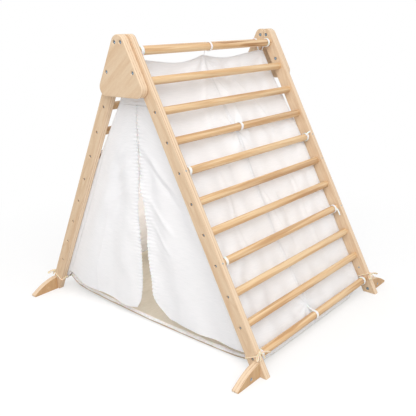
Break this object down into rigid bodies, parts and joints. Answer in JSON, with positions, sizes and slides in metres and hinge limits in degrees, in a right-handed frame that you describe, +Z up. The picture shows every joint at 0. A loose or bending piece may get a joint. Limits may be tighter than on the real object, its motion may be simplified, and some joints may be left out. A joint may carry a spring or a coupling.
{
  "type": "climbing triangle",
  "caption": "Wooden A-frame climber for small children, with round rungs on both slopes and a white cloth tent with a door slit inside.",
  "frame": {"origin": "centre of the footprint, on the floor", "axes": "+X along the rungs towards the closed end of the tent, +Y towards the back ladder, +Z up"},
  "size_m": [0.8914, 0.9916, 0.9116],
  "materials": {
    "upright_plywood": "clear oiled birch plywood, smooth",
    "cut_plywood": "clear oiled birch plywood, smooth",
    "rung_beech": "sanded and oiled round rod",
    "zinc_steel": "zinc plated",
    "white_cotton": "thin plain weave",
    "cotton_tape": "woven tape",
    "natural_cord": "twisted natural cord"
  },
  "bodies": {
    "frame": {"front_left_upright": "upright_plywood", "front_right_upright": "upright_plywood", "back_left_upright": "upright_plywood", "back_right_upright": "upright_plywood", "left_apex_bracket": "cut_plywood", "right_apex_bracket": "cut_plywood", "front_left_foot": "cut_plywood", "front_right_foot": "cut_plywood", "back_left_foot": "cut_plywood", "back_right_foot": "cut_plywood", "front_rung_01": "rung_beech", "front_rung_02": "rung_beech", "front_rung_03": "rung_beech", "front_rung_04": "rung_beech", "front_rung_05": "rung_beech", "front_rung_06": "rung_beech", "front_rung_07": "rung_beech", "front_rung_08": "rung_beech", "front_rung_09": "rung_beech", "front_rung_10": "rung_beech", "front_rung_11": "rung_beech", "back_rung_01": "rung_beech", "back_rung_02": "rung_beech", "back_rung_03": "rung_beech", "back_rung_04": "rung_beech", "back_rung_05": "rung_beech", "back_rung_06": "rung_beech", "back_rung_07": "rung_beech", "back_rung_08": "rung_beech", "back_rung_09": "rung_beech", "back_rung_10": "rung_beech", "back_rung_11": "rung_beech", "left_front_upper_bracket_bolt": "zinc_steel", "left_front_lower_bracket_bolt": "zinc_steel", "left_back_upper_bracket_bolt": "zinc_steel", "left_back_lower_bracket_bolt": "zinc_steel", "right_front_upper_bracket_bolt": "zinc_steel", "right_front_lower_bracket_bolt": "zinc_steel", "right_back_upper_bracket_bolt": "zinc_steel", "right_back_lower_bracket_bolt": "zinc_steel", "front_left_foot_bolt": "zinc_steel", "front_right_foot_bolt": "zinc_steel", "back_left_foot_bolt": "zinc_steel", "back_right_foot_bolt": "zinc_steel", "front_panel": "white_cotton", "back_panel": "white_cotton", "right_end_panel": "white_cotton", "door_yoke": "white_cotton", "floor_sheet": "white_cotton", "front_left_tie_tape": "cotton_tape", "front_right_tie_tape": "cotton_tape", "front_middle_tie_tape": "cotton_tape", "back_left_tie_tape": "cotton_tape", "back_right_tie_tape": "cotton_tape", "front_left_cord": "natural_cord", "front_right_cord": "natural_cord", "back_left_cord": "natural_cord", "back_right_cord": "natural_cord"},
    "front_flap": {"front_door_flap": "white_cotton"},
    "back_flap": {"back_door_flap": "white_cotton"}
  },
  "joints": [
    {"name": "front_flap_hinge", "type": "hinge", "parent": "frame", "child": "front_flap", "pos_m": [-0.316, -0.06962, 0.71123], "axis": [0, 0.4586, 0.8886], "range_deg": [-75, 75]},
    {"name": "back_flap_hinge", "type": "hinge", "parent": "frame", "child": "back_flap", "pos_m": [-0.316, 0.06962, 0.71123], "axis": [0, 0.4586, -0.8886], "range_deg": [-75, 75]}
  ]
}
